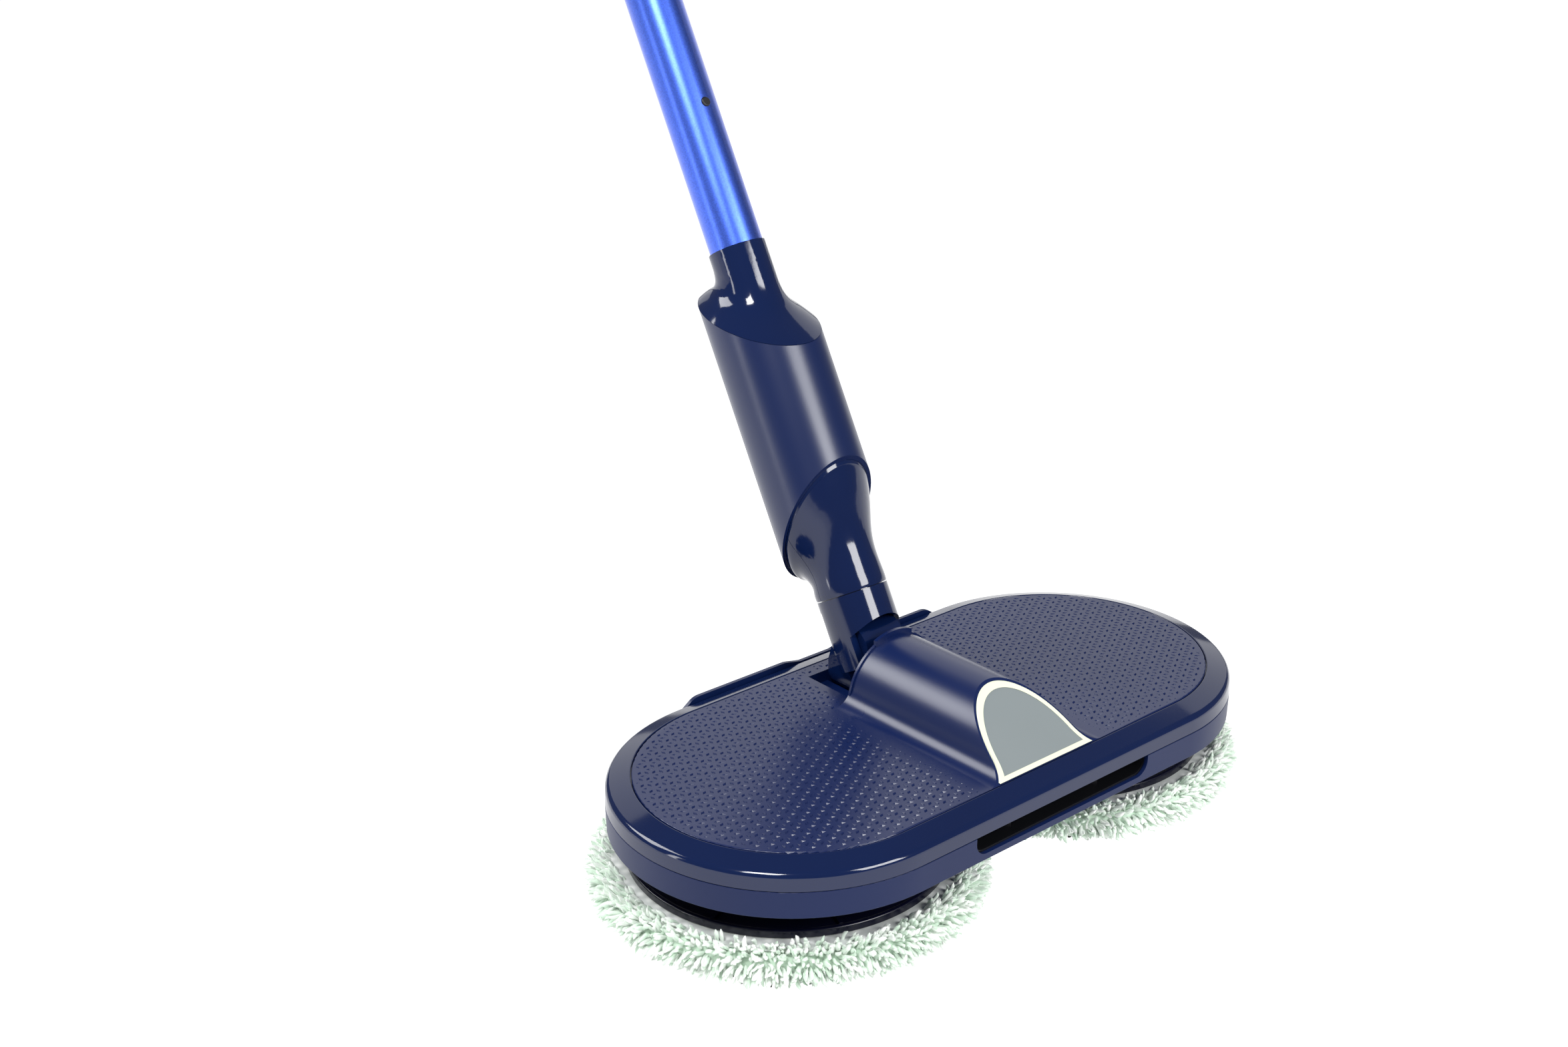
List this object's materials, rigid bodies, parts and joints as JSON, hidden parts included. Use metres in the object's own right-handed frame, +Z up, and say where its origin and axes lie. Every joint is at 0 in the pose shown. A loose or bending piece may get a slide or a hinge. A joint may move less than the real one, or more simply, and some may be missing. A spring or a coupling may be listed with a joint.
{
  "type": "spin mop",
  "caption": "Cordless spin mop: pill-shaped head over two round fringed pads, two-way hinge, oblique-cut battery housing and a telescopic blue pole.",
  "frame": {"origin": "on the floor, under the centre of the pill-shaped head", "axes": "+X along the head, -Y towards the front with the badge, +Z up"},
  "size_m": [0.4114, 0.725, 1.1246],
  "materials": {
    "navy_gloss": "gloss",
    "navy_satin": "satin",
    "black_plastic": "matt",
    "blue_anodised": "satin anodised",
    "badge_grey": "satin",
    "badge_border": "satin",
    "tinted_window": "clear tinted",
    "steel": "ground",
    "white_nylon": "matt",
    "mint_pile": "looped pile",
    "white_backing": "woven",
    "hook_tape": "hooked",
    "seal_rubber": "matt",
    "circuit_green": "solder mask",
    "cell_wrap": "shrink wrap"
  },
  "bodies": {
    "head": {"rim_shell": "navy_gloss", "deck_cover": "navy_satin", "badge_frame": "badge_border", "badge_plate": "badge_grey", "lower_shell": "navy_satin", "rear_guard": "navy_gloss", "slot_tray": "navy_gloss", "slot_windows": "tinted_window", "drive_plate": "steel", "drive_motor": "steel", "gear_axles": "steel", "output_bearings": "steel", "shaft_seals": "seal_rubber", "roll_housing": "black_plastic", "shell_screws": "steel"},
    "right_disc": {"right_output_gear": "white_nylon", "right_output_shaft": "steel", "right_spin_disc": "black_plastic", "right_disc_screw": "steel", "right_hook_ring": "hook_tape", "right_pad_backing": "white_backing", "right_mop_pad": "mint_pile"},
    "left_disc": {"left_output_gear": "white_nylon", "left_output_shaft": "steel", "left_spin_disc": "black_plastic", "left_disc_screw": "steel", "left_hook_ring": "hook_tape", "left_pad_backing": "white_backing", "left_mop_pad": "mint_pile"},
    "motor_rotor": {"motor_shaft": "steel", "motor_pinion": "steel"},
    "right_step": {"right_step_gear": "white_nylon"},
    "left_step": {"left_step_gear": "white_nylon"},
    "left_idler": {"left_idler_gear": "white_nylon"},
    "swivel": {"swivel_block": "navy_gloss", "roll_shaft": "steel"},
    "pole": {"yoke_collar": "navy_gloss", "tilt_pin": "steel", "neck_front": "navy_gloss", "neck_rear": "navy_gloss", "control_board": "circuit_green", "battery_cells": "cell_wrap", "cell_holder": "black_plastic", "battery_sleeve": "navy_satin", "charge_jack": "black_plastic", "upper_socket": "navy_gloss", "stub_tube": "steel", "snap_spring": "steel", "pole_tube": "blue_anodised", "clamp_body": "navy_satin", "clamp_pin": "steel"},
    "snap": {"snap_button": "black_plastic"},
    "lever": {"clamp_lever": "navy_gloss"},
    "handle": {"upper_tube": "blue_anodised", "grip_front": "navy_gloss", "grip_rear": "navy_satin", "power_switch": "black_plastic", "hanging_loop": "black_plastic"},
    "power": {"power_button": "badge_grey"}
  },
  "joints": [
    {"name": "right_disc_spin", "type": "hinge", "parent": "head", "child": "right_disc", "pos_m": [0.1047, 0.004, 0.055], "axis": [0, 0, 1], "continuous": true},
    {"name": "left_disc_spin", "type": "hinge", "parent": "head", "child": "left_disc", "pos_m": [-0.1047, 0.004, 0.055], "axis": [0, 0, 1], "continuous": true},
    {"name": "right_step_spin", "type": "hinge", "parent": "head", "child": "right_step", "pos_m": [0.04103, -0.02259, 0.055], "axis": [0, 0, 1], "continuous": true},
    {"name": "motor_spin", "type": "hinge", "parent": "head", "child": "motor_rotor", "pos_m": [0, -0.025, 0.055], "axis": [0, 0, 1], "continuous": true},
    {"name": "left_step_spin", "type": "hinge", "parent": "head", "child": "left_step", "pos_m": [-0.04048, -0.03214, 0.055], "axis": [0, 0, 1], "continuous": true},
    {"name": "left_idler_spin", "type": "hinge", "parent": "head", "child": "left_idler", "pos_m": [-0.0345, -0.01201, 0.055], "axis": [0, 0, 1], "continuous": true},
    {"name": "side_lean", "type": "hinge", "parent": "head", "child": "swivel", "pos_m": [0, 0.03, 0.07], "axis": [0, 1, 0], "range_deg": [-25, 25]},
    {"name": "pole_tilt", "type": "hinge", "parent": "swivel", "child": "pole", "pos_m": [0, 0.05398, 0.0899], "axis": [-1, 0, 0], "range_deg": [-22, 50]},
    {"name": "snap_press", "type": "slide", "parent": "pole", "child": "snap", "axis": [0, 0.8775, -0.4796], "range_m": [0, 0.0022], "stiffness_N_per_m": 900},
    {"name": "clamp_swing", "type": "hinge", "parent": "pole", "child": "lever", "pos_m": [0, 0.39599, 0.76566], "axis": [-1, 0, 0], "range_deg": [0, 100]},
    {"name": "handle_slide", "type": "slide", "parent": "pole", "child": "handle", "axis": [0, 0.4796, 0.8775], "range_m": [-0.22, 0]},
    {"name": "power_press", "type": "slide", "parent": "handle", "child": "power", "axis": [0, 0.8775, -0.4796], "range_m": [0, 0.0012], "stiffness_N_per_m": 900}
  ],
  "couplings": [
    {"joint": "left_disc_spin", "follows": "right_disc_spin", "ratio": -1},
    {"joint": "right_step_spin", "follows": "right_disc_spin", "ratio": -6.6667},
    {"joint": "motor_spin", "follows": "right_disc_spin", "ratio": 47.059},
    {"joint": "left_step_spin", "follows": "right_disc_spin", "ratio": -6.6667},
    {"joint": "left_idler_spin", "follows": "right_disc_spin", "ratio": 5}
  ]
}
